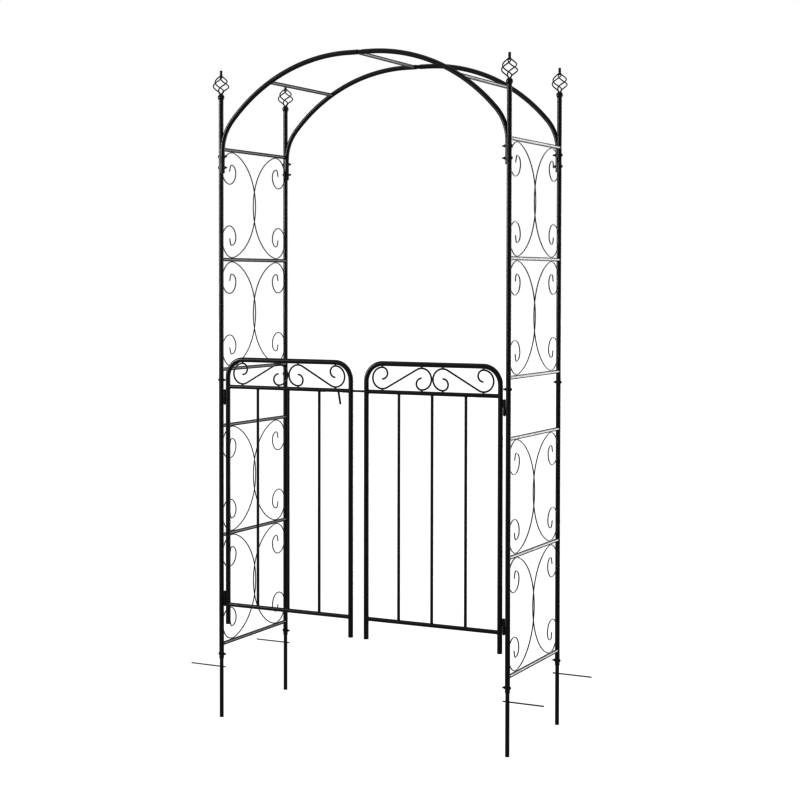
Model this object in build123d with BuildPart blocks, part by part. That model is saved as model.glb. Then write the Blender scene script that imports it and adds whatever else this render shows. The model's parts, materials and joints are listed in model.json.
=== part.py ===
from build123d import *
from math import asin, atan2, cos, degrees, pi, radians, sin, sqrt
import os

os.makedirs("parts", exist_ok=True)

# Garden arch with a double gate, all steel tube and wire.  Millimetres.
# X runs across the path, Y from the gates to the back, Z up from the tips of the ground stakes.

# ---------------------------------------------------------------- plan of the arch
post_x = 542.0
post_y = 219.0
sides = {"left": -1, "right": 1}
corners = {
    "left_front": (-1, -1),
    "right_front": (1, -1),
    "left_back": (-1, 1),
    "right_back": (1, 1),
}

# ---------------------------------------------------------------- tube and wire sizes
tube_r = 8.0
tube_wall = 1.2
bore_r = tube_r - tube_wall
neck_r = 6.7
neck_bore_r = 5.5
rung_r = 6.0
rung_wall = 1.0
rail_r = 6.5
rail_wall = 1.2
baluster_r = 4.5
baluster_wall = 1.0
side_wire_r = 1.75
gate_wire_r = 2.7
weld_sink = 0.1

# ---------------------------------------------------------------- heights
rod_z = 177.0
post_foot_z = 206.0
stake_bolt_z = 222.0
lower_ladder_z = 256.0
cell_h = 382.5
upper_ladder_z = 1217.5
joint_z = 1162.0
joint_bolt_z = 1181.0
arch_foot_z = 1899.0
arch_bolt_heights = (1918.5, 1957.0)
post_top_z = 2153.0
apex_z = 2287.0

# ---------------------------------------------------------------- posts and stakes
neck_len = 40.0
swage_len = 5.0
stake_r = 6.6
stake_wall = 1.2
stake_top_z = 256.0
stake_neck_r = 6.3
stake_taper_z = 170.0
stake_neck_z = 172.0
rod_r = 2.0
rod_out = 125.0
rod_in = 16.0

# ---------------------------------------------------------------- through bolts
bolt_r = 2.5
bolt_hole_r = 2.6
head_r = 4.6
head_h = 3.2
head_round = 2.2
recess_w = 1.2
recess_len = 5.0
recess_depth = 1.4
nut_across = 8.0
nut_h = 4.0
post_thread_out = 9.5
arch_thread_out = 10.5
thread_chamfer = 0.6

# ---------------------------------------------------------------- arch tubes
foot_offset = 5.4
foot_x = post_x - foot_offset
crown_flat = 40.0
crown_radius = 605.0
crown_angle = 49.0
seat_angle = 22.0
shoulder_radius = (foot_x - crown_flat - crown_radius * sin(radians(crown_angle))) / (
    1 - sin(radians(crown_angle))
)
crown_centre_z = apex_z - crown_radius
shoulder_z = crown_centre_z + (crown_radius - shoulder_radius) * cos(radians(crown_angle))
socket_end_x = -2.0
swage_x = 12.0
neck_end_x = -40.0

# ---------------------------------------------------------------- arch crossbars
middle_bar_x = -10.0
left_bar_x = -346.0
right_bar_x = 362.0
bar_plug_len = 16.0
screw_r = 2.0
screw_hole_r = 2.1
screw_grip = 13.0
screw_head_r = 3.8
screw_head_h = 2.4

# ---------------------------------------------------------------- finials
ball_r = 11.5
ball_z = post_top_z + sqrt(ball_r**2 - tube_r**2)
plug_r = 6.7
plug_len = 18.0
cage_wire_r = 1.9
cage_foot_z = 2170.5
cage_h = 64.0
cage_wires = 4
cage_twist = 200.0
cage_phase = 45.0
cage_r = 27.6
cage_end_r = 4.2
cage_steps = 10
spike_r = 4.4
spike_foot_z = 2230.0
spike_top_z = 2254.0
spike_round = 1.5

# ---------------------------------------------------------------- side scrolls
curl_r = 64.0
curl_u = post_y - curl_r - sqrt((tube_r + side_wire_r - weld_sink) ** 2 - side_wire_r**2)
curl_v = cell_h / 2 - curl_r - sqrt((rung_r + side_wire_r - weld_sink) ** 2 - side_wire_r**2)
bow_reach = 10.5
bow_r = ((curl_u + bow_reach) ** 2 + curl_v**2 - curl_r**2) / (2 * (curl_u + bow_reach - curl_r))
bow_turn = degrees(atan2(curl_v, bow_r - bow_reach - curl_u))
under_r = 46.8
inner_r = 40.7
hook_r = 26.6
tip_r = 9.0
tip_turn = 75.0
tip_tail = 17.0

# ---------------------------------------------------------------- gate leaves
gate_y = -post_y
outer_stile_x = 514.5
inner_stile_x = 29.5
stile_foot_z = 330.0
gate_top_z = 1253.0
gate_bend_r = 60.0
upper_rail_z = 1158.5
bottom_rail_z = 398.0
baluster_count = 3
leaf_mid_x = (outer_stile_x + inner_stile_x) / 2
gate_loop_r = 35.5
gate_hook_r = 19.25
gate_loop_gap = 144.8
gate_s_gap = 0.2
gate_scroll_z = (upper_rail_z + rail_r + gate_top_z - tube_r) / 2
gate_lean = degrees(asin(2 * gate_loop_r / gate_loop_gap))

# ---------------------------------------------------------------- gate hinges
hinge_x = (post_x - tube_r + outer_stile_x + tube_r) / 2
knuckle_r = 4.5
knuckle_h = 25.0
knuckle_gap = 0.4
knuckle_web = 4.0
hinge_heights = (393.0, 1097.0)
pin_r = 2.5
pin_bore_r = 2.6
pin_below = 2.5
pin_above = 1.0

# ---------------------------------------------------------------- latch bolt
latch_r = 3.25
latch_guide_r = 3.35
latch_keep_r = 4.8
latch_tip_x = 20.5
latch_bend_x = -70.3
latch_bend_r = 6.0
latch_bend_turn = 100.0
latch_handle = 40.0
latch_slot_w = 7.5
latch_slot_from = -125.5
latch_slot_to = -60.5


def save(builder, name):
    """Label a finished piece and write it out under the same name."""
    builder.part.label = name
    export_step(builder.part, f"parts/{name}.step")


def upright_plane(y):
    """Plane across the path at depth y: local x is X, local y is Z."""
    return Plane(origin=(0, y, 0), x_dir=(1, 0, 0), z_dir=(0, -1, 0))


def cross_hole(x, y, z, radius, length=60.0):
    """Cut a hole along X through the tube standing at (x, y)."""
    with Locations(Location((x, y, z), (0, 90, 0))):
        Cylinder(radius, length, mode=Mode.SUBTRACT)


# ================================================================ posts, stakes, anchor rods
for corner, (sx, sy) in corners.items():
    x = sx * post_x
    y = sy * post_y

    with BuildPart() as upper_post:
        with BuildSketch(Plane(origin=(x, y, joint_z))):
            Circle(tube_r)
            Circle(bore_r, mode=Mode.SUBTRACT)
        extrude(amount=post_top_z - joint_z)
        for z in (joint_bolt_z, *arch_bolt_heights):
            cross_hole(x, y, z, bolt_hole_r)
    save(upper_post, f"{corner}_upper_post")

    with BuildPart() as lower_post:
        with BuildSketch(Plane(origin=(x, y, post_foot_z))):
            Circle(tube_r)
            Circle(bore_r, mode=Mode.SUBTRACT)
        extrude(amount=joint_z - swage_len - post_foot_z)
        with BuildSketch(Plane(origin=(x, y, joint_z - swage_len))):
            Circle(tube_r)
            Circle(neck_bore_r, mode=Mode.SUBTRACT)
        extrude(amount=swage_len)
        with BuildSketch(Plane(origin=(x, y, joint_z))):
            Circle(neck_r)
            Circle(neck_bore_r, mode=Mode.SUBTRACT)
        extrude(amount=neck_len)
        for z in (stake_bolt_z, joint_bolt_z):
            cross_hole(x, y, z, bolt_hole_r)
    save(lower_post, f"{corner}_lower_post")

    with BuildPart() as stake:
        with BuildSketch(Plane(origin=(x, y, 0))):
            Circle(stake_r)
        extrude(amount=stake_taper_z)
        with Locations((x, y, (stake_taper_z + stake_neck_z) / 2)):
            Cone(stake_r, stake_neck_r, stake_neck_z - stake_taper_z)
        with BuildSketch(Plane(origin=(x, y, stake_neck_z))):
            Circle(stake_neck_r)
        extrude(amount=stake_top_z - stake_neck_z)
        with Locations((x, y, stake_top_z / 2)):
            Cylinder(stake_r - stake_wall, stake_top_z, mode=Mode.SUBTRACT)
        cross_hole(x, y, stake_bolt_z, bolt_hole_r)
        cross_hole(x, y, rod_z, rod_r)
    save(stake, f"{corner}_ground_stake")

for side, sx in sides.items():
    rod_mid_x = sx * (post_x + (rod_out - rod_in) / 2)
    with BuildPart() as anchor_rods:
        with Locations(
            Location((rod_mid_x, -post_y, rod_z), (0, 90, 0)),
            Location((rod_mid_x, post_y, rod_z), (0, 90, 0)),
        ):
            Cylinder(rod_r, rod_out + rod_in)
    save(anchor_rods, f"{side}_anchor_rods")


# ================================================================ arch tubes
def arch_seat(sx, y):
    """Solid saddle end that stands against the inner side of a post."""
    start = 0 if sx > 0 else 180
    with BuildPart() as seat:
        with BuildLine(upright_plane(y)) as seat_line:
            Line((sx * foot_x, arch_foot_z), (sx * foot_x, shoulder_z))
            CenterArc((sx * (foot_x - shoulder_radius), shoulder_z), shoulder_radius, start, sx * seat_angle)
        with BuildSketch(Plane(origin=(sx * foot_x, y, arch_foot_z))):
            Circle(tube_r)
        sweep(path=seat_line.wires()[0])
    return seat.part


def arch_bow(sx, y, end_x):
    """Open tube from the saddle over the shoulder to the crown."""
    start = seat_angle if sx > 0 else 180 - seat_angle
    turn = 90 - crown_angle
    crown_start = turn if sx > 0 else 180 - turn
    seat_point = (
        sx * (foot_x - shoulder_radius + shoulder_radius * cos(radians(seat_angle))),
        y,
        shoulder_z + shoulder_radius * sin(radians(seat_angle)),
    )
    heading = (-sx * sin(radians(seat_angle)), 0, cos(radians(seat_angle)))
    with BuildPart() as bow:
        with BuildLine(upright_plane(y)) as bow_line:
            CenterArc(
                (sx * (foot_x - shoulder_radius), shoulder_z), shoulder_radius, start, sx * (turn - seat_angle)
            )
            CenterArc((sx * crown_flat, crown_centre_z), crown_radius, crown_start, sx * crown_angle)
            Line((sx * crown_flat, apex_z), (end_x, apex_z))
        with BuildSketch(Plane(origin=seat_point, z_dir=heading)):
            Circle(tube_r)
            Circle(bore_r, mode=Mode.SUBTRACT)
        sweep(path=bow_line.wires()[0])
    return bow.part


def nest_on_post(sx, y):
    """Cut the saddle to the round of the post and drill it for its two bolts."""
    with Locations((sx * post_x, y, (arch_foot_z + post_top_z) / 2)):
        Cylinder(tube_r, post_top_z - arch_foot_z + 2 * tube_r, mode=Mode.SUBTRACT)
    for z in arch_bolt_heights:
        cross_hole(sx * foot_x, y, z, bolt_hole_r)


for depth, sy in {"front": -1, "back": 1}.items():
    y = sy * post_y

    left_seat = arch_seat(-1, y)
    left_bow = arch_bow(-1, y, socket_end_x)
    with BuildPart() as socket_half:
        add(left_seat)
        add(left_bow)
        nest_on_post(-1, y)
        with Locations(Location((middle_bar_x, y, apex_z), (90, 0, 0))):
            Cylinder(screw_hole_r, 4 * tube_r, mode=Mode.SUBTRACT)
    save(socket_half, f"{depth}_arch_left_half")

    right_seat = arch_seat(1, y)
    right_bow = arch_bow(1, y, swage_x + swage_len)
    with BuildPart() as swaged_half:
        add(right_seat)
        add(right_bow)
        nest_on_post(1, y)
        with BuildSketch(Plane(origin=(swage_x, y, apex_z), z_dir=(1, 0, 0))):
            Circle(tube_r)
            Circle(neck_bore_r, mode=Mode.SUBTRACT)
        extrude(amount=swage_len)
        with BuildSketch(Plane(origin=(neck_end_x, y, apex_z), z_dir=(1, 0, 0))):
            Circle(neck_r)
            Circle(neck_bore_r, mode=Mode.SUBTRACT)
        extrude(amount=swage_x - neck_end_x)
        with Locations(Location((middle_bar_x, y, apex_z), (90, 0, 0))):
            Cylinder(screw_hole_r, 4 * tube_r, mode=Mode.SUBTRACT)
    save(swaged_half, f"{depth}_arch_right_half")


# ================================================================ arch crossbars
def bar_height(x):
    """Height of the arch centre line at a distance x from the middle."""
    return crown_centre_z + sqrt(crown_radius**2 - (abs(x) - crown_flat) ** 2)


for name, x in {"left_arch_crossbar": left_bar_x, "right_arch_crossbar": right_bar_x}.items():
    sx = 1 if x > 0 else -1
    with BuildPart() as side_bar:
        with BuildSketch(Plane(origin=(x, -post_y, bar_height(x)), z_dir=(0, 1, 0))):
            Circle(rung_r)
            Circle(rung_r - rung_wall, mode=Mode.SUBTRACT)
        extrude(amount=2 * post_y)
        with Locations(
            Location((sx * crown_flat, -post_y, crown_centre_z), (90, 0, 0)),
            Location((sx * crown_flat, post_y, crown_centre_z), (90, 0, 0)),
        ):
            Torus(crown_radius, tube_r, mode=Mode.SUBTRACT)
    save(side_bar, name)

with BuildPart() as middle_bar:
    with BuildSketch(Plane(origin=(middle_bar_x, -post_y, apex_z), z_dir=(0, 1, 0))):
        Circle(rung_r)
    extrude(amount=2 * post_y)
    with Locations(Location((middle_bar_x, 0, apex_z), (90, 0, 0))):
        Cylinder(rung_r - rung_wall, 2 * (post_y - tube_r - bar_plug_len), mode=Mode.SUBTRACT)
        Cylinder(screw_r, 2 * post_y, mode=Mode.SUBTRACT)
    with Locations(
        Location((middle_bar_x, -post_y, apex_z), (0, 90, 0)),
        Location((middle_bar_x, post_y, apex_z), (0, 90, 0)),
    ):
        Cylinder(tube_r, 4 * tube_r, mode=Mode.SUBTRACT)
save(middle_bar, "middle_arch_crossbar")

with BuildPart() as crown_screws:
    for sy in (-1, 1):
        shank = 2 * tube_r + screw_grip
        with Locations(
            Location((middle_bar_x, sy * (post_y + tube_r - shank / 2), apex_z), (90, 0, 0))
        ):
            Cylinder(screw_r, shank)
        with Locations(
            Location((middle_bar_x, sy * (post_y + tube_r + screw_head_h / 2), apex_z), (90, 0, 0))
        ):
            Cylinder(screw_head_r, screw_head_h)
        with Locations((middle_bar_x, sy * (post_y + tube_r + screw_head_h), apex_z)):
            Box(recess_len, 2 * recess_depth, recess_w, mode=Mode.SUBTRACT)
            Box(recess_w, 2 * recess_depth, recess_len, mode=Mode.SUBTRACT)
save(crown_screws, "crown_screws")


# ================================================================ finials
def cage_radius(t):
    """Bulge of the twisted cage: slim towards the ball, fuller towards the spike."""
    fullness = 1.7 if t < 0.5 else 1.0
    return cage_end_r + (cage_r - cage_end_r) * max(sin(pi * t), 0.0) ** fullness


def cage_point(x, y, wire, t):
    angle = radians(cage_phase + 360.0 / cage_wires * wire + cage_twist * t)
    return (x + cage_radius(t) * cos(angle), y + cage_radius(t) * sin(angle), cage_foot_z + cage_h * t)


for corner, (sx, sy) in corners.items():
    x = sx * post_x
    y = sy * post_y

    with BuildPart() as ball:
        with Locations((x, y, ball_z)):
            Sphere(ball_r)
        with Locations((x, y, post_top_z - ball_r)):
            Box(4 * ball_r, 4 * ball_r, 2 * ball_r, mode=Mode.SUBTRACT)
        with Locations((x, y, post_top_z - plug_len / 2)):
            Cylinder(plug_r, plug_len)
    save(ball, f"{corner}_finial_ball")

    with BuildPart() as cage:
        for wire in range(cage_wires):
            points = [cage_point(x, y, wire, step / cage_steps) for step in range(cage_steps + 1)]
            with BuildLine() as strand:
                Spline(*points)
            path = strand.wires()[0]
            with BuildSketch(Plane(origin=path @ 0, z_dir=path % 0)):
                Circle(cage_wire_r)
            sweep(path=path)
        with BuildSketch(Plane(origin=(x, y, spike_foot_z))):
            Circle(spike_r)
        extrude(amount=spike_top_z - spike_foot_z)
        fillet(cage.edges().filter_by(GeomType.CIRCLE).sort_by(Axis.Z)[-1], radius=spike_round)
        with Locations((x, y, ball_z)):
            Sphere(ball_r, mode=Mode.SUBTRACT)
    save(cage, f"{corner}_finial_cage")


# ================================================================ side ladders
def quarter_arc(u, v, radius, start, turn, su, sv):
    """Arc drawn for the front upper quarter of a cell and flipped into the other quarters."""
    first = start if su > 0 else 180 - start
    CenterArc((su * u, sv * v), radius, sv * first, su * sv * turn)


def c_scroll(x, z, su):
    """One C scroll wire of the cell centred at height z; su is 1 at the front, -1 at the back."""
    cell_plane = Plane(origin=(x, 0, z), x_dir=(0, 1, 0), z_dir=(1, 0, 0))
    under_u = -curl_u - curl_r + under_r
    inner_v = curl_v - under_r + inner_r
    hook_u = under_u + inner_r - hook_r
    tip_v = inner_v + hook_r - tip_r
    tail_turn = radians(90 + tip_turn)
    tail_u = hook_u + tip_r * cos(tail_turn)
    tail_v = tip_v + tip_r * sin(tail_turn)
    with BuildPart() as wire:
        with BuildLine(cell_plane) as scroll:
            for sv in (1, -1):
                quarter_arc(bow_reach - bow_r, 0, bow_r, 0, bow_turn, su, sv)
                quarter_arc(-curl_u, curl_v, curl_r, bow_turn, 180 - bow_turn, su, sv)
                quarter_arc(under_u, curl_v, under_r, 180, 90, su, sv)
                quarter_arc(under_u, inner_v, inner_r, 270, 90, su, sv)
                quarter_arc(hook_u, inner_v, hook_r, 0, 90, su, sv)
                quarter_arc(hook_u, tip_v, tip_r, 90, tip_turn, su, sv)
                Line(
                    (su * tail_u, sv * tail_v),
                    (su * (tail_u - tip_tail * sin(tail_turn)), sv * (tail_v + tip_tail * cos(tail_turn))),
                )
        path = scroll.wires()[0]
        with BuildSketch(Plane(origin=path @ 0, z_dir=path % 0)):
            Circle(side_wire_r)
        sweep(path=path)
    return wire.part


for side, sx in sides.items():
    x = sx * post_x
    for level, foot_z in {"lower": lower_ladder_z, "upper": upper_ladder_z}.items():
        with BuildPart() as rungs:
            for rung in range(3):
                with BuildSketch(Plane(origin=(x, -post_y, foot_z + rung * cell_h), z_dir=(0, 1, 0))):
                    Circle(rung_r)
                    Circle(rung_r - rung_wall, mode=Mode.SUBTRACT)
                extrude(amount=2 * post_y)
            with Locations((x, -post_y, foot_z + cell_h), (x, post_y, foot_z + cell_h)):
                Cylinder(tube_r, 3 * cell_h, mode=Mode.SUBTRACT)
            if level == "upper":
                with Locations((sx * foot_x, -post_y, arch_foot_z), (sx * foot_x, post_y, arch_foot_z)):
                    Cylinder(tube_r, cell_h, mode=Mode.SUBTRACT)
        save(rungs, f"{side}_{level}_rungs")

        wires = [
            c_scroll(x - su * side_wire_r, foot_z + (cell + 0.5) * cell_h, su)
            for cell in range(2)
            for su in (1, -1)
        ]
        with BuildPart() as scrolls:
            for wire in wires:
                add(wire)
        save(scrolls, f"{side}_{level}_scrolls")


# ================================================================ gate leaves
def rail_along_x(sx, z):
    """Tube between the two stiles of a leaf, its ends cut to the round of the stiles."""
    with BuildPart() as rail:
        with BuildSketch(Plane(origin=(sx * inner_stile_x, gate_y, z), z_dir=(sx, 0, 0))):
            Circle(rail_r)
            Circle(rail_r - rail_wall, mode=Mode.SUBTRACT)
        extrude(amount=outer_stile_x - inner_stile_x)
        with Locations((sx * inner_stile_x, gate_y, z), (sx * outer_stile_x, gate_y, z)):
            Cylinder(tube_r, 4 * tube_r, mode=Mode.SUBTRACT)
    return rail


def s_scroll(mid_x, su):
    """One S scroll wire of a leaf with its four weld stems; su flips it about the leaf's middle."""
    near = -gate_loop_r - gate_wire_r - gate_s_gap / 2
    far = near - gate_loop_gap
    hook_v = gate_loop_r - gate_hook_r
    swing = 180 + gate_lean
    lean = radians(90 - gate_lean)
    step_u = gate_loop_r * cos(lean)
    step_v = gate_loop_r * sin(lean)
    leaf_plane = Plane(origin=(mid_x, gate_y, gate_scroll_z), x_dir=(1, 0, 0), z_dir=(0, -1, 0))
    stem_h = (gate_top_z - upper_rail_z) / 2 - gate_loop_r
    with BuildPart() as wire:
        with BuildLine(leaf_plane) as scroll:
            quarter_arc(far, hook_v, gate_hook_r, -90, 180, su, 1)
            quarter_arc(far, 0, gate_loop_r, 90, swing, su, 1)
            Line((su * (far + step_u), -step_v), (su * (near - step_u), step_v))
            quarter_arc(near, 0, gate_loop_r, 90 + gate_lean, -swing, su, 1)
            quarter_arc(near, -hook_v, gate_hook_r, 270, -180, su, 1)
        path = scroll.wires()[0]
        with BuildSketch(Plane(origin=path @ 0, z_dir=path % 0)):
            Circle(gate_wire_r)
        sweep(path=path)
        for u in (far, near):
            for sv in (1, -1):
                with Locations((mid_x + su * u, gate_y, gate_scroll_z + sv * (gate_loop_r + stem_h / 2))):
                    Cylinder(gate_wire_r, stem_h)
    return wire.part


for side, sx in sides.items():
    inner = sx * inner_stile_x
    outer = sx * outer_stile_x
    mid = sx * leaf_mid_x
    bend_z = gate_top_z - gate_bend_r

    with BuildPart() as frame:
        with BuildLine(upright_plane(gate_y)) as frame_line:
            Line((outer, stile_foot_z), (outer, bend_z))
            CenterArc((outer - sx * gate_bend_r, bend_z), gate_bend_r, 0 if sx > 0 else 180, sx * 90)
            Line((outer - sx * gate_bend_r, gate_top_z), (inner + sx * gate_bend_r, gate_top_z))
            CenterArc((inner + sx * gate_bend_r, bend_z), gate_bend_r, 90, sx * 90)
            Line((inner, bend_z), (inner, stile_foot_z))
        with BuildSketch(Plane(origin=(outer, gate_y, stile_foot_z))):
            Circle(tube_r)
            Circle(bore_r, mode=Mode.SUBTRACT)
        sweep(path=frame_line.wires()[0])
        if side == "left":
            cross_hole(inner, gate_y, upper_rail_z, latch_guide_r, 3 * tube_r)
        else:
            cross_hole(inner - tube_r, gate_y, upper_rail_z, latch_keep_r, 2 * tube_r)
    save(frame, f"{side}_gate_frame")

    upper_tube = rail_along_x(sx, upper_rail_z)
    with BuildPart() as upper_rail:
        add(upper_tube.part)
        if side == "left":
            with Locations(((latch_slot_from + latch_slot_to) / 2, gate_y, upper_rail_z - rail_r)):
                Box(latch_slot_to - latch_slot_from, latch_slot_w, rail_r, mode=Mode.SUBTRACT)
    save(upper_rail, f"{side}_gate_upper_rail")

    bottom_rail = rail_along_x(sx, bottom_rail_z)
    save(bottom_rail, f"{side}_gate_bottom_rail")

    with BuildPart() as balusters:
        spacing = (outer_stile_x - inner_stile_x) / (baluster_count + 1)
        for count in range(baluster_count):
            bar_x = sx * (inner_stile_x + (count + 1) * spacing)
            with BuildSketch(Plane(origin=(bar_x, gate_y, bottom_rail_z))):
                Circle(baluster_r)
                Circle(baluster_r - baluster_wall, mode=Mode.SUBTRACT)
            extrude(amount=upper_rail_z - bottom_rail_z)
        with Locations(
            Location((mid, gate_y, bottom_rail_z), (0, 90, 0)),
            Location((mid, gate_y, upper_rail_z), (0, 90, 0)),
        ):
            Cylinder(rail_r, outer_stile_x - inner_stile_x, mode=Mode.SUBTRACT)
    save(balusters, f"{side}_gate_balusters")

    gate_wires = [s_scroll(mid, su) for su in (1, -1)]
    with BuildPart() as gate_scrolls:
        for wire in gate_wires:
            add(wire)
        with Locations(Location((mid, gate_y, gate_top_z), (0, 90, 0))):
            Cylinder(tube_r, outer_stile_x, mode=Mode.SUBTRACT)
        with Locations(Location((mid, gate_y, upper_rail_z), (0, 90, 0))):
            Cylinder(rail_r, outer_stile_x, mode=Mode.SUBTRACT)
    save(gate_scrolls, f"{side}_gate_scrolls")


# ================================================================ gate hinges
def knuckle(sx, foot, tube_x, bore):
    """Hinge barrel with a web to the tube it is welded on."""
    with Locations((sx * hinge_x, gate_y, foot + knuckle_h / 2)):
        Cylinder(knuckle_r, knuckle_h)
    with Locations((sx * (hinge_x + tube_x) / 2, gate_y, foot + knuckle_h / 2)):
        Box(abs(tube_x - hinge_x), knuckle_web, knuckle_h)
    with Locations((sx * tube_x, gate_y, foot + knuckle_h / 2)):
        Cylinder(tube_r, 2 * knuckle_h, mode=Mode.SUBTRACT)
    with Locations((sx * hinge_x, gate_y, foot + knuckle_h / 2)):
        Cylinder(bore, 2 * knuckle_h, mode=Mode.SUBTRACT)


for side, sx in sides.items():
    with BuildPart() as post_knuckles:
        for foot in hinge_heights:
            knuckle(sx, foot, post_x, pin_bore_r)
    save(post_knuckles, f"{side}_post_hinge_knuckles")

    with BuildPart() as gate_knuckles:
        for foot in hinge_heights:
            knuckle(sx, foot + knuckle_h + knuckle_gap, outer_stile_x, pin_r)
    save(gate_knuckles, f"{side}_gate_hinge_knuckles")

    with BuildPart() as pins:
        for foot in hinge_heights:
            with BuildSketch(Plane(origin=(sx * hinge_x, gate_y, foot - pin_below))):
                Circle(pin_r)
            extrude(amount=pin_below + 2 * knuckle_h + knuckle_gap + pin_above)
        chamfer(pins.edges().filter_by(GeomType.CIRCLE), length=thread_chamfer)
    save(pins, f"{side}_gate_hinge_pins")


# ================================================================ latch bolt
with BuildPart() as latch:
    with BuildLine(upright_plane(gate_y)) as latch_line:
        Line((latch_tip_x, upper_rail_z), (latch_bend_x, upper_rail_z))
        CenterArc((latch_bend_x, upper_rail_z - latch_bend_r), latch_bend_r, 90, latch_bend_turn)
        handle_turn = radians(90 + latch_bend_turn)
        handle_x = latch_bend_x + latch_bend_r * cos(handle_turn)
        handle_z = upper_rail_z - latch_bend_r + latch_bend_r * sin(handle_turn)
        Line(
            (handle_x, handle_z),
            (handle_x - latch_handle * sin(handle_turn), handle_z + latch_handle * cos(handle_turn)),
        )
    with BuildSketch(Plane(origin=(latch_tip_x, gate_y, upper_rail_z), z_dir=(-1, 0, 0))):
        Circle(latch_r)
    sweep(path=latch_line.wires()[0])
    chamfer(latch.faces().sort_by(Axis.X)[-1].edges(), length=thread_chamfer)
    chamfer(latch.faces().filter_by(GeomType.PLANE).sort_by(Axis.Z)[0].edges(), length=thread_chamfer)
save(latch, "latch_bolt")


# ================================================================ bolts and nuts
def through_bolt(length):
    """Round-headed bolt standing on Z = 0, its shank running down."""
    with BuildPart() as bolt:
        Cylinder(head_r, head_h, align=(Align.CENTER, Align.CENTER, Align.MIN))
        fillet(bolt.faces().sort_by(Axis.Z)[-1].edges(), radius=head_round)
        Cylinder(bolt_r, length, align=(Align.CENTER, Align.CENTER, Align.MAX))
        chamfer(bolt.faces().sort_by(Axis.Z)[0].edges(), length=thread_chamfer)
        with Locations((0, 0, head_h)):
            Box(recess_len, recess_w, 2 * recess_depth, mode=Mode.SUBTRACT)
            Box(recess_w, recess_len, 2 * recess_depth, mode=Mode.SUBTRACT)
    return bolt


def bolts_and_nuts(heights, inner_face_x, thread_out, name):
    """Bolts from the outer face of each post and nuts on the inner face, for all four posts."""
    bolt = through_bolt(post_x + tube_r - inner_face_x + thread_out)
    with BuildPart() as nut:
        with BuildSketch():
            RegularPolygon(nut_across / 2, 6, major_radius=False)
            Circle(bolt_r, mode=Mode.SUBTRACT)
        extrude(amount=nut_h)
    with BuildPart() as bolts:
        for sx, sy in corners.values():
            for z in heights:
                with Locations(Location((sx * (post_x + tube_r), sy * post_y, z), (0, sx * 90, 0))):
                    add(bolt.part)
    save(bolts, f"{name}_bolts")
    with BuildPart() as nuts:
        for sx, sy in corners.values():
            for z in heights:
                with Locations(Location((sx * inner_face_x, sy * post_y, z), (0, -sx * 90, 0))):
                    add(nut.part)
    save(nuts, f"{name}_nuts")


bolts_and_nuts((stake_bolt_z, joint_bolt_z), post_x - tube_r, post_thread_out, "post")
bolts_and_nuts(arch_bolt_heights, foot_x - tube_r, arch_thread_out, "arch_foot")
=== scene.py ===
import json
import math

import bmesh
import bpy
from mathutils import Matrix, Vector


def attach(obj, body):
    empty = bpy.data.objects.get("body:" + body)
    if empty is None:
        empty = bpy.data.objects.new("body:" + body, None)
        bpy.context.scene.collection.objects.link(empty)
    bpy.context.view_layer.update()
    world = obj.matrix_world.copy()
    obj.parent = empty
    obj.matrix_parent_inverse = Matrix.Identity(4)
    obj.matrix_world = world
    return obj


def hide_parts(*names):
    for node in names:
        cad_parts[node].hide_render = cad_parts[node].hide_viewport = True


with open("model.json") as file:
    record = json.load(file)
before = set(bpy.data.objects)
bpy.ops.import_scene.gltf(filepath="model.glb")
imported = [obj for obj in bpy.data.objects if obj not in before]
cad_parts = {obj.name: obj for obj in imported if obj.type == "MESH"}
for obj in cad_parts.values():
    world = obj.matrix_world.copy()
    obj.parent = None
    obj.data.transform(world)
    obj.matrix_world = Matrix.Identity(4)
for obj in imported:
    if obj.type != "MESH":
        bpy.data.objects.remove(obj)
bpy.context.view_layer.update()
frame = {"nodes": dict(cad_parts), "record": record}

MM = 0.001

# ------------------------------------------------------------------ sizes of the arch, millimetres
POST_X, POST_Y = 542.0, 219.0
TUBE_R, RUNG_R, RAIL_R, BALUSTER_R = 8.0, 6.0, 6.5, 4.5
SIDE_WIRE_R, GATE_WIRE_R = 1.75, 2.7
LADDERS = {"lower": 256.0, "upper": 1217.5}
CELL_H = 382.5
ROD_Z, STAKE_R, ROD_R = 177.0, 6.3, 2.0
CROWN_FLAT, CROWN_R, APEX_Z = 40.0, 605.0, 2287.0
CROWN_Z = APEX_Z - CROWN_R
SIDE_BARS = (-346.0, 362.0)
CURL_R, CURL_Y, CURL_Z, BOW_CROSS_Z = 64.0, 145.5, 119.8, 61.96
CAGE_FOOT_Z, CAGE_TOP_Z, CAGE_END_R = 2171.6, 2233.0, 4.4
STILES = (29.5, 514.5)
GATE_Y = -POST_Y
RAILS_Z = (398.0, 1158.5)
GATE_TOP_Z = 1253.0
BALUSTER_GAP = 121.25
LOOP_R, LOOP_STEP, PAIR_GAP = 35.5, 144.8, 0.2
LOOP_NEAR = LOOP_R + GATE_WIRE_R + PAIR_GAP / 2
LOOP_FAR = LOOP_NEAR + LOOP_STEP
HINGE_FEET, KNUCKLE_H, WEB_HALF = (393.0, 1097.0), 25.0, 2.0
KNUCKLE_STEP = 25.4
NUT_ACROSS, NUT_H, BOLT_R, CHAMFER = 8.0, 4.0, 2.5, 0.6
THREAD_OVERLAP, THREAD_STOP = 0.3, 0.4
POST_BOLTS = ((222.0, 1181.0), POST_X - TUBE_R, 9.5)
ARCH_BOLTS = ((1918.5, 1957.0), 536.6 - TUBE_R, 10.5)
CORNERS = [(sx, sy) for sx in (-1, 1) for sy in (-1, 1)]
SIDES = {"left": -1, "right": 1}

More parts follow.
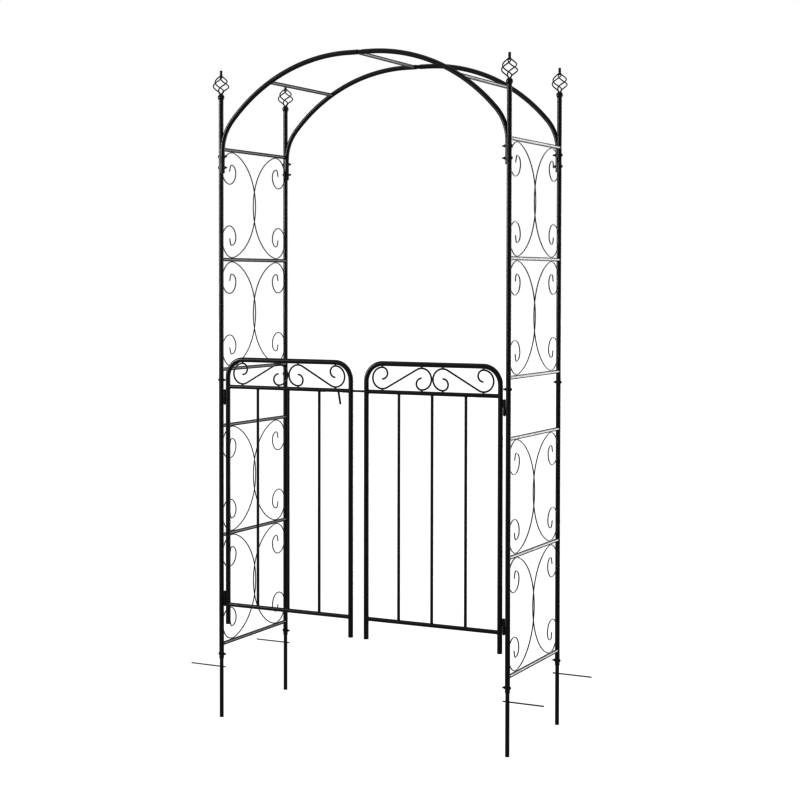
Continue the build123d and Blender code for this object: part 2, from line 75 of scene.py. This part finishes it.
# ------------------------------------------------------------------ sizes of the welds, millimetres
TUBE_BEAD, BALUSTER_BEAD, WIRE_BEAD, WEB_BEAD = 1.25, 1.1, 0.9, 1.0
COLLAR_BEADS = {CAGE_FOOT_Z: 1.5, CAGE_TOP_Z: 1.3}
WEB_BEAD_INSET, WEB_BEAD_OUT, WEB_BEAD_SIDE = 0.8, 0.2, 0.3
TACK_REACH = CURL_R + 1.1
RUNG_TACK, POST_TACK, BOW_TACK = (2.2, 4.2, 1.5), (2.2, 1.5, 4.2), (2.3, 2.0, 3.2)
LOOP_TACK, PAIR_TACK = (4.3, 3.0, 2.8), (1.9, 3.0, 4.6)

# ------------------------------------------------------------------ tones of the powder paint
COAT_DARK, COAT_LIGHT = (0.006, 0.006, 0.007), (0.012, 0.012, 0.0135)
DUST = (0.055, 0.053, 0.05, 1)
ZINC_DARK, ZINC_LIGHT = (0.022, 0.022, 0.025), (0.055, 0.052, 0.05)

X, Y, Z = Vector((1, 0, 0)), Vector((0, 1, 0)), Vector((0, 0, 1))


# ------------------------------------------------------------------ materials
def new_material(name):
    mat = bpy.data.materials.new(name)
    mat.use_nodes = True
    nodes = mat.node_tree.nodes
    nodes.clear()
    out = nodes.new("ShaderNodeOutputMaterial")
    shader = nodes.new("ShaderNodeBsdfPrincipled")
    mat.node_tree.links.new(shader.outputs["BSDF"], out.inputs["Surface"])
    return mat, nodes, mat.node_tree.links, shader


def noise(nodes, links, coords, scale, detail=3.0, rough=0.5):
    tex = nodes.new("ShaderNodeTexNoise")
    tex.inputs["Scale"].default_value = scale
    tex.inputs["Detail"].default_value = detail
    tex.inputs["Roughness"].default_value = rough
    links.new(coords, tex.inputs["Vector"])
    return tex.outputs["Fac"]


def span(nodes, links, value, lo, hi, out_lo, out_hi):
    rng = nodes.new("ShaderNodeMapRange")
    rng.inputs["From Min"].default_value = lo
    rng.inputs["From Max"].default_value = hi
    rng.inputs["To Min"].default_value = out_lo
    rng.inputs["To Max"].default_value = out_hi
    links.new(value, rng.inputs["Value"])
    return rng.outputs["Result"]


def colours(nodes, links, factor, dark, light):
    mix = nodes.new("ShaderNodeMix")
    mix.data_type = "RGBA"
    mix.inputs["A"].default_value = (*dark, 1)
    mix.inputs["B"].default_value = (*light, 1)
    links.new(factor, mix.inputs["Factor"])
    return mix.outputs["Result"]


def bump(nodes, links, height, strength, distance, below=None):
    node = nodes.new("ShaderNodeBump")
    node.inputs["Strength"].default_value = strength
    node.inputs["Distance"].default_value = distance
    links.new(height, node.inputs["Height"])
    if below is not None:
        links.new(below, node.inputs["Normal"])
    return node.outputs["Normal"]


def powder_coat(name, rough, peel_scale, peel):
    """Baked powder paint: orange peel, cloudy gloss and a trace of dust on what faces up."""
    mat, nodes, links, shader = new_material(name)
    coords = nodes.new("ShaderNodeTexCoord").outputs["Object"]
    cloud = noise(nodes, links, coords, 14.0, 4.0, 0.6)
    fine = noise(nodes, links, coords, peel_scale, 2.0, 0.45)
    grit = noise(nodes, links, coords, peel_scale * 5.0, 1.0)
    normal = nodes.new("ShaderNodeNewGeometry").outputs["Normal"]
    split = nodes.new("ShaderNodeSeparateXYZ")
    links.new(normal, split.inputs["Vector"])
    up = span(nodes, links, split.outputs["Z"], 0.55, 1.0, 0.0, 1.0)
    patch = span(nodes, links, cloud, 0.42, 0.66, 0.0, 1.0)
    dust = nodes.new("ShaderNodeMath")
    dust.operation = "MULTIPLY"
    links.new(up, dust.inputs[0])
    links.new(patch, dust.inputs[1])
    coat = colours(nodes, links, span(nodes, links, grit, 0.35, 0.7, 0.0, 1.0), COAT_DARK, COAT_LIGHT)
    tint = nodes.new("ShaderNodeMix")
    tint.data_type = "RGBA"
    links.new(span(nodes, links, dust.outputs[0], 0.0, 1.0, 0.0, 0.35), tint.inputs["Factor"])
    links.new(coat, tint.inputs["A"])
    tint.inputs["B"].default_value = DUST
    links.new(tint.outputs["Result"], shader.inputs["Base Color"])
    links.new(span(nodes, links, cloud, 0.3, 0.7, rough[0], rough[1]), shader.inputs["Roughness"])
    shader.inputs["IOR"].default_value = 1.5
    soft = bump(nodes, links, fine, peel, 0.00005)
    links.new(bump(nodes, links, grit, peel * 0.3, 0.00002, soft), shader.inputs["Normal"])
    return mat


def black_zinc(name):
    """Plated fastener steel: fine turning marks and cloudy passivation in lighter and darker patches."""
    mat, nodes, links, shader = new_material(name)
    coords = nodes.new("ShaderNodeTexCoord").outputs["Object"]
    cloud = noise(nodes, links, coords, 160.0, 4.0, 0.6)
    stretch = nodes.new("ShaderNodeMapping")
    stretch.inputs["Scale"].default_value = (1.0, 0.12, 0.12)
    links.new(coords, stretch.inputs["Vector"])
    turned = noise(nodes, links, stretch.outputs["Vector"], 5200.0, 2.0)
    patch = span(nodes, links, cloud, 0.35, 0.7, 0.0, 1.0)
    links.new(colours(nodes, links, patch, ZINC_DARK, ZINC_LIGHT), shader.inputs["Base Color"])
    shader.inputs["Metallic"].default_value = 0.75
    links.new(span(nodes, links, cloud, 0.3, 0.7, 0.34, 0.52), shader.inputs["Roughness"])
    links.new(bump(nodes, links, turned, 0.25, 0.00005), shader.inputs["Normal"])
    return mat


COAT = powder_coat("powder_coat_tube", (0.27, 0.35), 520.0, 0.22)
WIRE = powder_coat("powder_coat_wire", (0.26, 0.38), 760.0, 0.2)
WELD = powder_coat("powder_coat_weld", (0.24, 0.36), 1100.0, 0.45)
ZINC = black_zinc("black_zinc_fastener")
BY_SLOT = {"coated_steel": COAT, "coated_wire": WIRE, "black_zinc": ZINC}

slot_of = {part["node"]: part["material_slot"] for part in frame["record"]["subparts"]}
for node_name, node in frame["nodes"].items():
    node.data.materials.clear()
    node.data.materials.append(BY_SLOT[slot_of[node_name]])


# ------------------------------------------------------------------ mesh helpers
def finish_piece(bm, name, body, material):
    """Turn a mesh in millimetres into a smooth piece that rides on its body."""
    bmesh.ops.scale(bm, vec=(MM, MM, MM), verts=bm.verts)
    bmesh.ops.recalc_face_normals(bm, faces=bm.faces)
    mesh = bpy.data.meshes.new(name)
    bm.to_mesh(mesh)
    bm.free()
    mesh.materials.append(material)
    for face in mesh.polygons:
        face.use_smooth = True
    piece = bpy.data.objects.new(name, mesh)
    bpy.context.scene.collection.objects.link(piece)
    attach(piece, body)
    return piece


def tube_along(bm, points, radii, closed, sides=8):
    """Tube through the points; an open one ends in flat caps."""
    count = len(points)
    rings = []
    for i, point in enumerate(points):
        ahead = points[(i + 1) % count] if closed or i + 1 < count else point
        behind = points[i - 1] if closed or i > 0 else point
        tangent = (ahead - behind).normalized()
        if i == 0:
            side = tangent.orthogonal().normalized()
        else:
            side = (side - tangent * side.dot(tangent)).normalized()
        other = tangent.cross(side)
        ring = []
        for k in range(sides):
            angle = 2 * math.pi * k / sides
            ring.append(bm.verts.new(point + (side * math.cos(angle) + other * math.sin(angle)) * radii[i]))
        rings.append(ring)
    joins = count if closed else count - 1
    for i in range(joins):
        here, there = rings[i], rings[(i + 1) % count]
        shift = 0
        if closed and i == count - 1:
            shift = min(range(sides), key=lambda s: (here[0].co - there[s].co).length)
        there = there[shift:] + there[:shift]
        for k in range(sides):
            after = (k + 1) % sides
            bm.faces.new((here[k], here[after], there[after], there[k]))
    if not closed:
        bm.faces.new(rings[0])
        bm.faces.new(rings[-1])


def ripple(i, count, waves, phase):
    """Uneven height of a hand-laid bead."""
    turn = 2 * math.pi * i / count
    return 1 + 0.1 * math.sin(waves * turn + phase) + 0.07 * math.sin(3 * turn + 2.3 * phase)


def weld_round(bm, host, host_axis, host_r, axis, radius, bead):
    """Fillet bead where a round member along axis meets a round host tube."""
    across = host_axis.cross(axis).normalized()
    along = host_axis.normalized()
    count = 40
    phase = host.x * 0.37 + host.y * 0.11 + host.z * 0.73
    points, radii = [], []
    for i in range(count):
        turn = 2 * math.pi * i / count
        sideways = radius * math.cos(turn)
        reach = math.sqrt(host_r**2 - sideways**2)
        points.append(host + axis * reach + across * sideways + along * radius * math.sin(turn))
        radii.append(bead * ripple(i, count, 13, phase))
    tube_along(bm, points, radii, True)


def weld_line(bm, start, end, bead):
    count = 16
    phase = start.x * 0.31 + start.z * 0.17
    points = [start.lerp(end, i / (count - 1)) for i in range(count)]
    radii = [bead * ripple(i, count, 5, phase) * (0.55 if i in (0, count - 1) else 1) for i in range(count)]
    tube_along(bm, points, radii, False)


def tack(bm, centre, size):
    """Small lump of weld between two wires; size gives its half lengths."""
    made = bmesh.ops.create_icosphere(bm, subdivisions=2, radius=1.0)
    phase = centre.x * 0.7 + centre.y * 0.3 + centre.z * 0.5
    for vert in made["verts"]:
        lump = 1 + 0.09 * math.sin(4 * vert.co.x + phase) * math.cos(3 * vert.co.z - phase)
        vert.co = centre + Vector(vert.co[i] * size[i] * lump for i in range(3))


def hinge_welds(bm, tube_x, way, foot):
    """Two upright beads where a knuckle's web meets its tube; way points from tube to web."""
    edge_x = tube_x + way * (math.sqrt(TUBE_R**2 - WEB_HALF**2) + WEB_BEAD_OUT)
    for sy in (-1, 1):
        start = Vector((edge_x, GATE_Y + sy * (WEB_HALF + WEB_BEAD_SIDE), foot + WEB_BEAD_INSET))
        weld_line(bm, start, start + Z * (KNUCKLE_H - 2 * WEB_BEAD_INSET), WEB_BEAD)


# ------------------------------------------------------------------ welds of the side ladders
for side, sx in SIDES.items():
    rung_welds, tacks = bmesh.new(), bmesh.new()
    for foot in LADDERS.values():
        for rung in range(3):
            for sy in (-1, 1):
                host = Vector((sx * POST_X, sy * POST_Y, foot + rung * CELL_H))
                weld_round(rung_welds, host, Z, TUBE_R, -sy * Y, RUNG_R, TUBE_BEAD)
        for cell in range(2):
            middle = foot + (cell + 0.5) * CELL_H
            for sz in (-1, 1):
                for sy in (-1, 1):
                    wire_x = sx * POST_X + sy * SIDE_WIRE_R
                    at_rung = Vector((wire_x, sy * CURL_Y, middle + sz * (CURL_Z + TACK_REACH)))
                    tack(tacks, at_rung, RUNG_TACK)
                    at_post = Vector((wire_x, sy * (CURL_Y + TACK_REACH), middle + sz * CURL_Z))
                    tack(tacks, at_post, POST_TACK)
                tack(tacks, Vector((sx * POST_X, 0, middle + sz * BOW_CROSS_Z)), BOW_TACK)
    finish_piece(rung_welds, f"{side}_rung_weld_beads", "arch", WELD)
    finish_piece(tacks, f"{side}_scroll_tack_welds", "arch", WELD)

# ------------------------------------------------------------------ welds of the arch bars, rods and finials
bar_welds = bmesh.new()
for bar_x in SIDE_BARS:
    sx = math.copysign(1, bar_x)
    from_centre = abs(bar_x) - CROWN_FLAT
    bar_z = CROWN_Z + math.sqrt(CROWN_R**2 - from_centre**2)
    slope = Vector((bar_z - CROWN_Z, 0, -sx * from_centre)).normalized()
    for sy in (-1, 1):
        host = Vector((bar_x, sy * POST_Y, bar_z))
        weld_round(bar_welds, host, slope, TUBE_R, -sy * Y, RUNG_R, TUBE_BEAD)
finish_piece(bar_welds, "crossbar_weld_beads", "arch", WELD)

rod_welds = bmesh.new()
for sx, sy in CORNERS:
    host = Vector((sx * POST_X, sy * POST_Y, ROD_Z))
    for way in (-1, 1):
        weld_round(rod_welds, host, Z, STAKE_R, way * X, ROD_R, WIRE_BEAD)
finish_piece(rod_welds, "anchor_rod_weld_beads", "arch", WELD)

for (sx, sy), corner in zip(CORNERS, ("left_front", "left_back", "right_front", "right_back")):
    collar = bmesh.new()
    count = 32
    for height, bead in COLLAR_BEADS.items():
        middle = Vector((sx * POST_X, sy * POST_Y, height))
        points, radii = [], []
        for i in range(count):
            turn = 2 * math.pi * i / count
            points.append(middle + CAGE_END_R * (X * math.cos(turn) + Y * math.sin(turn)))
            radii.append(bead * ripple(i, count, 4, height + sx + 2 * sy))
        tube_along(collar, points, radii, True)
    finish_piece(collar, f"{corner}_finial_weld_beads", "arch", WELD)

# ------------------------------------------------------------------ welds of the gate leaves and hinges
for side, sx in SIDES.items():
    leaf = bmesh.new()
    middle = sx * sum(STILES) / 2
    for rail_z in RAILS_Z:
        for stile, way in zip(STILES, (1, -1)):
            host = Vector((sx * stile, GATE_Y, rail_z))
            weld_round(leaf, host, Z, TUBE_R, sx * way * X, RAIL_R, TUBE_BEAD)
    for bar in (1, 2, 3):
        bar_x = sx * (STILES[0] + bar * BALUSTER_GAP)
        for rail_z, way in zip(RAILS_Z, (1, -1)):
            host = Vector((bar_x, GATE_Y, rail_z))
            weld_round(leaf, host, X, RAIL_R, way * Z, BALUSTER_R, BALUSTER_BEAD)
    scroll_z = (RAILS_Z[1] + RAIL_R + GATE_TOP_Z - TUBE_R) / 2
    for su in (-1, 1):
        for loop in (LOOP_NEAR, LOOP_FAR):
            stem_x = middle + su * loop
            on_rail = Vector((stem_x, GATE_Y, RAILS_Z[1]))
            weld_round(leaf, on_rail, X, RAIL_R, Z, GATE_WIRE_R, WIRE_BEAD)
            under_top = Vector((stem_x, GATE_Y, GATE_TOP_Z))
            weld_round(leaf, under_top, X, TUBE_R, -Z, GATE_WIRE_R, WIRE_BEAD)
            for sz in (-1, 1):
                tack(leaf, Vector((stem_x, GATE_Y, scroll_z + sz * LOOP_R)), LOOP_TACK)
    tack(leaf, Vector((middle, GATE_Y, scroll_z)), PAIR_TACK)
    for foot in HINGE_FEET:
        hinge_welds(leaf, sx * STILES[1], sx, foot + KNUCKLE_STEP)
    finish_piece(leaf, f"{side}_gate_weld_beads", f"{side}_gate", WELD)

    post = bmesh.new()
    for foot in HINGE_FEET:
        hinge_welds(post, sx * POST_X, -sx, foot)
    finish_piece(post, f"{side}_post_hinge_weld_beads", "arch", WELD)


# ------------------------------------------------------------------ nuts and threads
def nut(bm, face_x, y, z, way):
    """Hexagon nut with turned corners, its bearing face at face_x."""
    steps = 48
    flat = NUT_ACROSS / 2
    bore, land = BOLT_R * 0.98, flat * 0.97
    countersink, rim, corner_slope = 0.25, 0.08, math.tan(math.radians(32))
    rings = []
    for at_top in (0, 1):
        for radius_of in ("bore", "land", "hex"):
            ring = []
            for i in range(steps):
                turn = 2 * math.pi * i / steps
                corner = flat / math.cos((turn + math.pi / 6) % (math.pi / 3) - math.pi / 6)
                hex_drop = rim + (corner - flat) * corner_slope
                radius = {"bore": bore, "land": land, "hex": corner}[radius_of]
                drop = {"bore": countersink, "land": 0.0, "hex": hex_drop}[radius_of]
                depth = NUT_H - drop if at_top else drop
                place = (face_x + way * depth, y + radius * math.cos(turn), z + radius * math.sin(turn))
                ring.append(bm.verts.new(place))
            rings.append(ring)
    order = (rings[0], rings[1], rings[2], rings[5], rings[4], rings[3], rings[0])
    for here, there in zip(order, order[1:]):
        for i in range(steps):
            j = (i + 1) % steps
            bm.faces.new((here[i], here[j], there[j], there[i]))


def thread(bm, start_x, y, z, way, length):
    """Helical ridge over the end of a bolt."""
    pitch, crest, root, flank = 0.8, 0.13, -0.08, 0.45
    per_turn = 20
    steps = int(length / pitch * per_turn)
    rows = []
    for i in range(steps + 1):
        turn = 2 * math.pi * i / per_turn
        fade = min(1.0, i / 8, (steps - i) / 8)
        row = []
        for offset, lift in ((-flank, root), (0.0, crest * fade), (flank, root)):
            radius = BOLT_R + lift
            reach = start_x + way * pitch * (i / per_turn + offset)
            row.append(bm.verts.new((reach, y + radius * math.cos(turn), z + radius * math.sin(turn))))
        rows.append(row)
    for here, there in zip(rows, rows[1:]):
        bm.faces.new((here[0], here[1], there[1], there[0]))
        bm.faces.new((here[1], here[2], there[2], there[1]))
        bm.faces.new((here[2], here[0], there[0], there[2]))
    bm.faces.new(rows[0])
    bm.faces.new(rows[-1])


for name, (heights, inner_x, thread_out) in {"post": POST_BOLTS, "arch_foot": ARCH_BOLTS}.items():
    nuts, threads = bmesh.new(), bmesh.new()
    for sx, sy in CORNERS:
        for height in heights:
            nut(nuts, sx * inner_x, sy * POST_Y, height, -sx)
            begin = sx * (inner_x - NUT_H + THREAD_OVERLAP)
            thread(threads, begin, sy * POST_Y, height, -sx, thread_out - NUT_H - CHAMFER - THREAD_STOP)
    nut_piece = finish_piece(nuts, f"{name}_hex_nuts", "arch", ZINC)
    crease = nut_piece.modifiers.new("crease", "EDGE_SPLIT")
    crease.split_angle = math.radians(28)
    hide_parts(f"{name}_nuts")
    finish_piece(threads, f"{name}_bolt_threads", "arch", ZINC)


# ------------------------------------------------------------------ floor, light and camera
floor_mesh = bpy.data.meshes.new("floor")
floor_bm = bmesh.new()
bmesh.ops.create_circle(floor_bm, cap_ends=True, radius=60.0, segments=96)
floor_bm.to_mesh(floor_mesh)
floor_bm.free()
floor = bpy.data.objects.new("floor", floor_mesh)
bpy.context.scene.collection.objects.link(floor)
floor_mat, f_nodes, f_links, f_shader = new_material("floor_paint")
f_shader.inputs["Base Color"].default_value = (0.2, 0.2, 0.2, 1)
f_shader.inputs["Roughness"].default_value = 0.9
f_shader.inputs["Specular IOR Level"].default_value = 0.0
f_shader.inputs["Emission Color"].default_value = (1, 1, 1, 1)
f_coords = f_nodes.new("ShaderNodeTexCoord").outputs["Object"]
f_reach = f_nodes.new("ShaderNodeVectorMath")
f_reach.operation = "LENGTH"
f_links.new(f_coords, f_reach.inputs[0])
f_glow = span(f_nodes, f_links, f_reach.outputs["Value"], 1.5, 7.0, 0.84, 1.0)
f_links.new(f_glow, f_shader.inputs["Emission Strength"])
floor_mesh.materials.append(floor_mat)
floor.visible_glossy = False

world = bpy.data.worlds.new("studio")
bpy.context.scene.world = world
world.use_nodes = True
w_nodes, w_links = world.node_tree.nodes, world.node_tree.links
w_nodes.clear()
w_out = w_nodes.new("ShaderNodeOutputWorld")
seen = w_nodes.new("ShaderNodeBackground")
seen.inputs["Color"].default_value = (1, 1, 1, 1)
seen.inputs["Strength"].default_value = 1.0
dim = w_nodes.new("ShaderNodeBackground")
dim.inputs["Color"].default_value = (1, 1, 1, 1)
dim.inputs["Strength"].default_value = 0.45
either = w_nodes.new("ShaderNodeMixShader")
w_links.new(w_nodes.new("ShaderNodeLightPath").outputs["Is Camera Ray"], either.inputs["Fac"])
w_links.new(dim.outputs["Background"], either.inputs[1])
w_links.new(seen.outputs["Background"], either.inputs[2])
w_links.new(either.outputs["Shader"], w_out.inputs["Surface"])


def softbox(name, place, target, width, height, radiance):
    """Area light given by how bright its face looks."""
    light = bpy.data.lights.new(name, "AREA")
    light.shape = "RECTANGLE"
    light.size, light.size_y = width, height
    light.energy = radiance * math.pi * width * height
    lamp = bpy.data.objects.new(name, light)
    lamp.location = place
    lamp.rotation_euler = (Vector(target) - Vector(place)).to_track_quat("-Z", "Y").to_euler()
    lamp.visible_camera = False
    bpy.context.scene.collection.objects.link(lamp)


softbox("softbox_front_left", (-3.1, -2.6, 2.25), (0, 0, 2.0), 0.6, 1.9, 45.0)
softbox("strip_back_right", (2.1, 3.0, 1.5), (0.5, 0.0, 1.3), 1.0, 3.4, 10.5)
softbox("strip_back", (0.9, 3.0, 1.5), (0.0, 0.0, 1.3), 1.0, 3.4, 2.2)
softbox("overhead", (0.0, 0.0, 5.2), (0, 0, 0), 5.0, 5.0, 0.8)

CAMERA_PLACE = (2.6204, -5.1314, 1.5274)
LENS, SENSOR, SHIFT_Y = 75.118, 36.0, -0.0945
YAW, PITCH, ROLL = math.radians(26.6607), math.radians(1.5), 0.001793
ahead = Vector((-math.sin(YAW) * math.cos(PITCH), math.cos(YAW) * math.cos(PITCH), -math.sin(PITCH)))
level_right = Vector((math.cos(YAW), math.sin(YAW), 0))
level_up = level_right.cross(ahead)
right = level_right * math.cos(ROLL) + level_up * math.sin(ROLL)
up = level_up * math.cos(ROLL) - level_right * math.sin(ROLL)
cam_data = bpy.data.cameras.new("photo_view")
cam_data.sensor_width = SENSOR
cam_data.lens = LENS
cam_data.shift_y = SHIFT_Y
cam_data.clip_end = 200.0
camera = bpy.data.objects.new("photo_view", cam_data)
turn = Matrix((right, up, -ahead)).transposed()
camera.matrix_world = Matrix.Translation(CAMERA_PLACE) @ turn.to_4x4()
bpy.context.scene.collection.objects.link(camera)
bpy.context.scene.camera = camera

bpy.context.scene.view_settings.view_transform = "Standard"
bpy.context.scene.view_settings.gamma = 0.65
